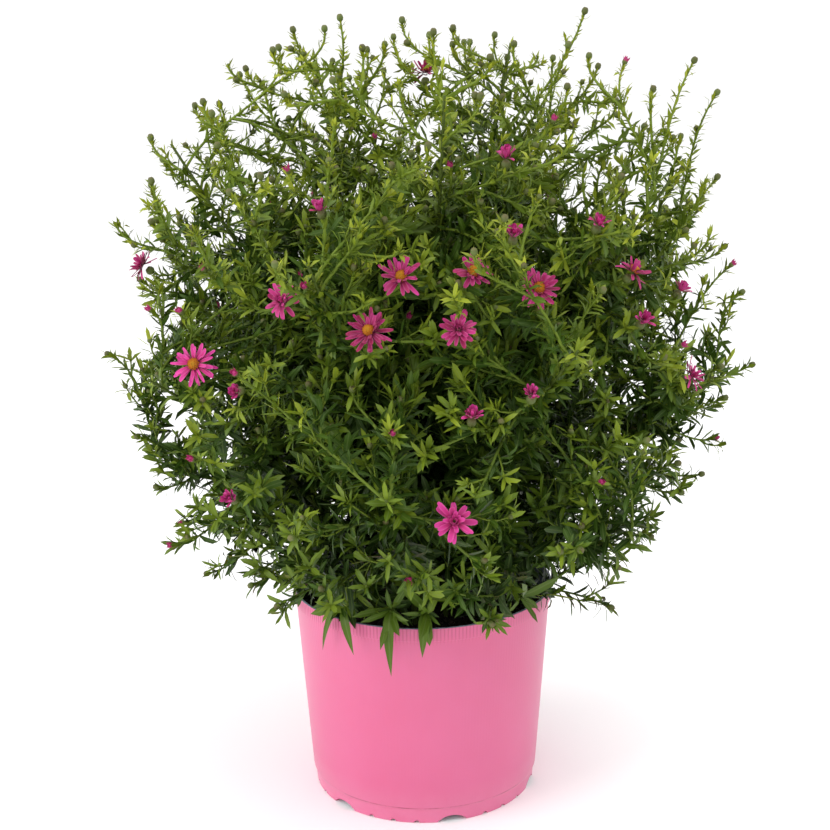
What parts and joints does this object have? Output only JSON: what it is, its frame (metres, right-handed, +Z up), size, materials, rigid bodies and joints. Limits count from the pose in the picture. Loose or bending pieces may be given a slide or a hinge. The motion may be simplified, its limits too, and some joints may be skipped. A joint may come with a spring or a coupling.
{
  "type": "potted aster",
  "caption": "Bushy aster with many leafy stems, small buds and pink daisy-like blooms, planted in soil in a tapered plastic pot with a rim band and a notched foot.",
  "frame": {"origin": "on the pot's axis, at the underside of the pot's raised floor, 2 mm above the plane that the foot ring stands on", "axes": "+Z up along the pot's axis, -Y towards the side that the picture shows, +X to the right in the picture"},
  "size_m": [0.4145, 0.375, 0.502],
  "materials": {
    "pot": "moulded satin polypropylene, pink",
    "soil": "moist crumbly peat and bark fines",
    "foliage": "living green stems, leaves and buds, satin",
    "petals": "thin soft petals, matt magenta pink",
    "discs": "tiny packed florets, matt yellow"
  },
  "bodies": {
    "root": {"pot": "pot", "soil": "soil", "stem_01": "foliage", "stem_02": "foliage", "stem_03": "foliage", "stem_04": "foliage", "stem_05": "foliage", "stem_06": "foliage", "stem_07": "foliage", "stem_08": "foliage", "stem_09": "foliage", "stem_10": "foliage", "stem_11": "foliage", "stem_12": "foliage", "stem_13": "foliage", "stem_14": "foliage", "stem_15": "foliage", "stem_16": "foliage", "stem_17": "foliage", "stem_18": "foliage", "stem_19": "foliage", "stem_20": "foliage", "petals_open_01": "petals", "petals_open_02": "petals", "petals_open_03": "petals", "petals_open_04": "petals", "petals_open_05": "petals", "petals_open_06": "petals", "petals_open_07": "petals", "petals_open_08": "petals", "petals_open_09": "petals", "petals_open_10": "petals", "petals_open_11": "petals", "petals_open_12": "petals", "petals_open_13": "petals", "petals_open_14": "petals", "petals_open_15": "petals", "petals_open_16": "petals", "petals_closed_01": "petals", "petals_closed_02": "petals", "petals_closed_03": "petals", "petals_closed_04": "petals", "petals_closed_05": "petals", "petals_closed_06": "petals", "petals_closed_07": "petals", "petals_closed_08": "petals", "petals_closed_09": "petals", "petals_closed_10": "petals", "petals_closed_11": "petals", "petals_closed_12": "petals", "disc_01": "discs", "disc_03": "discs", "disc_04": "discs", "disc_05": "discs", "disc_07": "discs", "disc_09": "discs", "disc_11": "discs", "disc_12": "discs", "disc_14": "discs", "disc_16": "discs"}
  },
  "joints": []
}
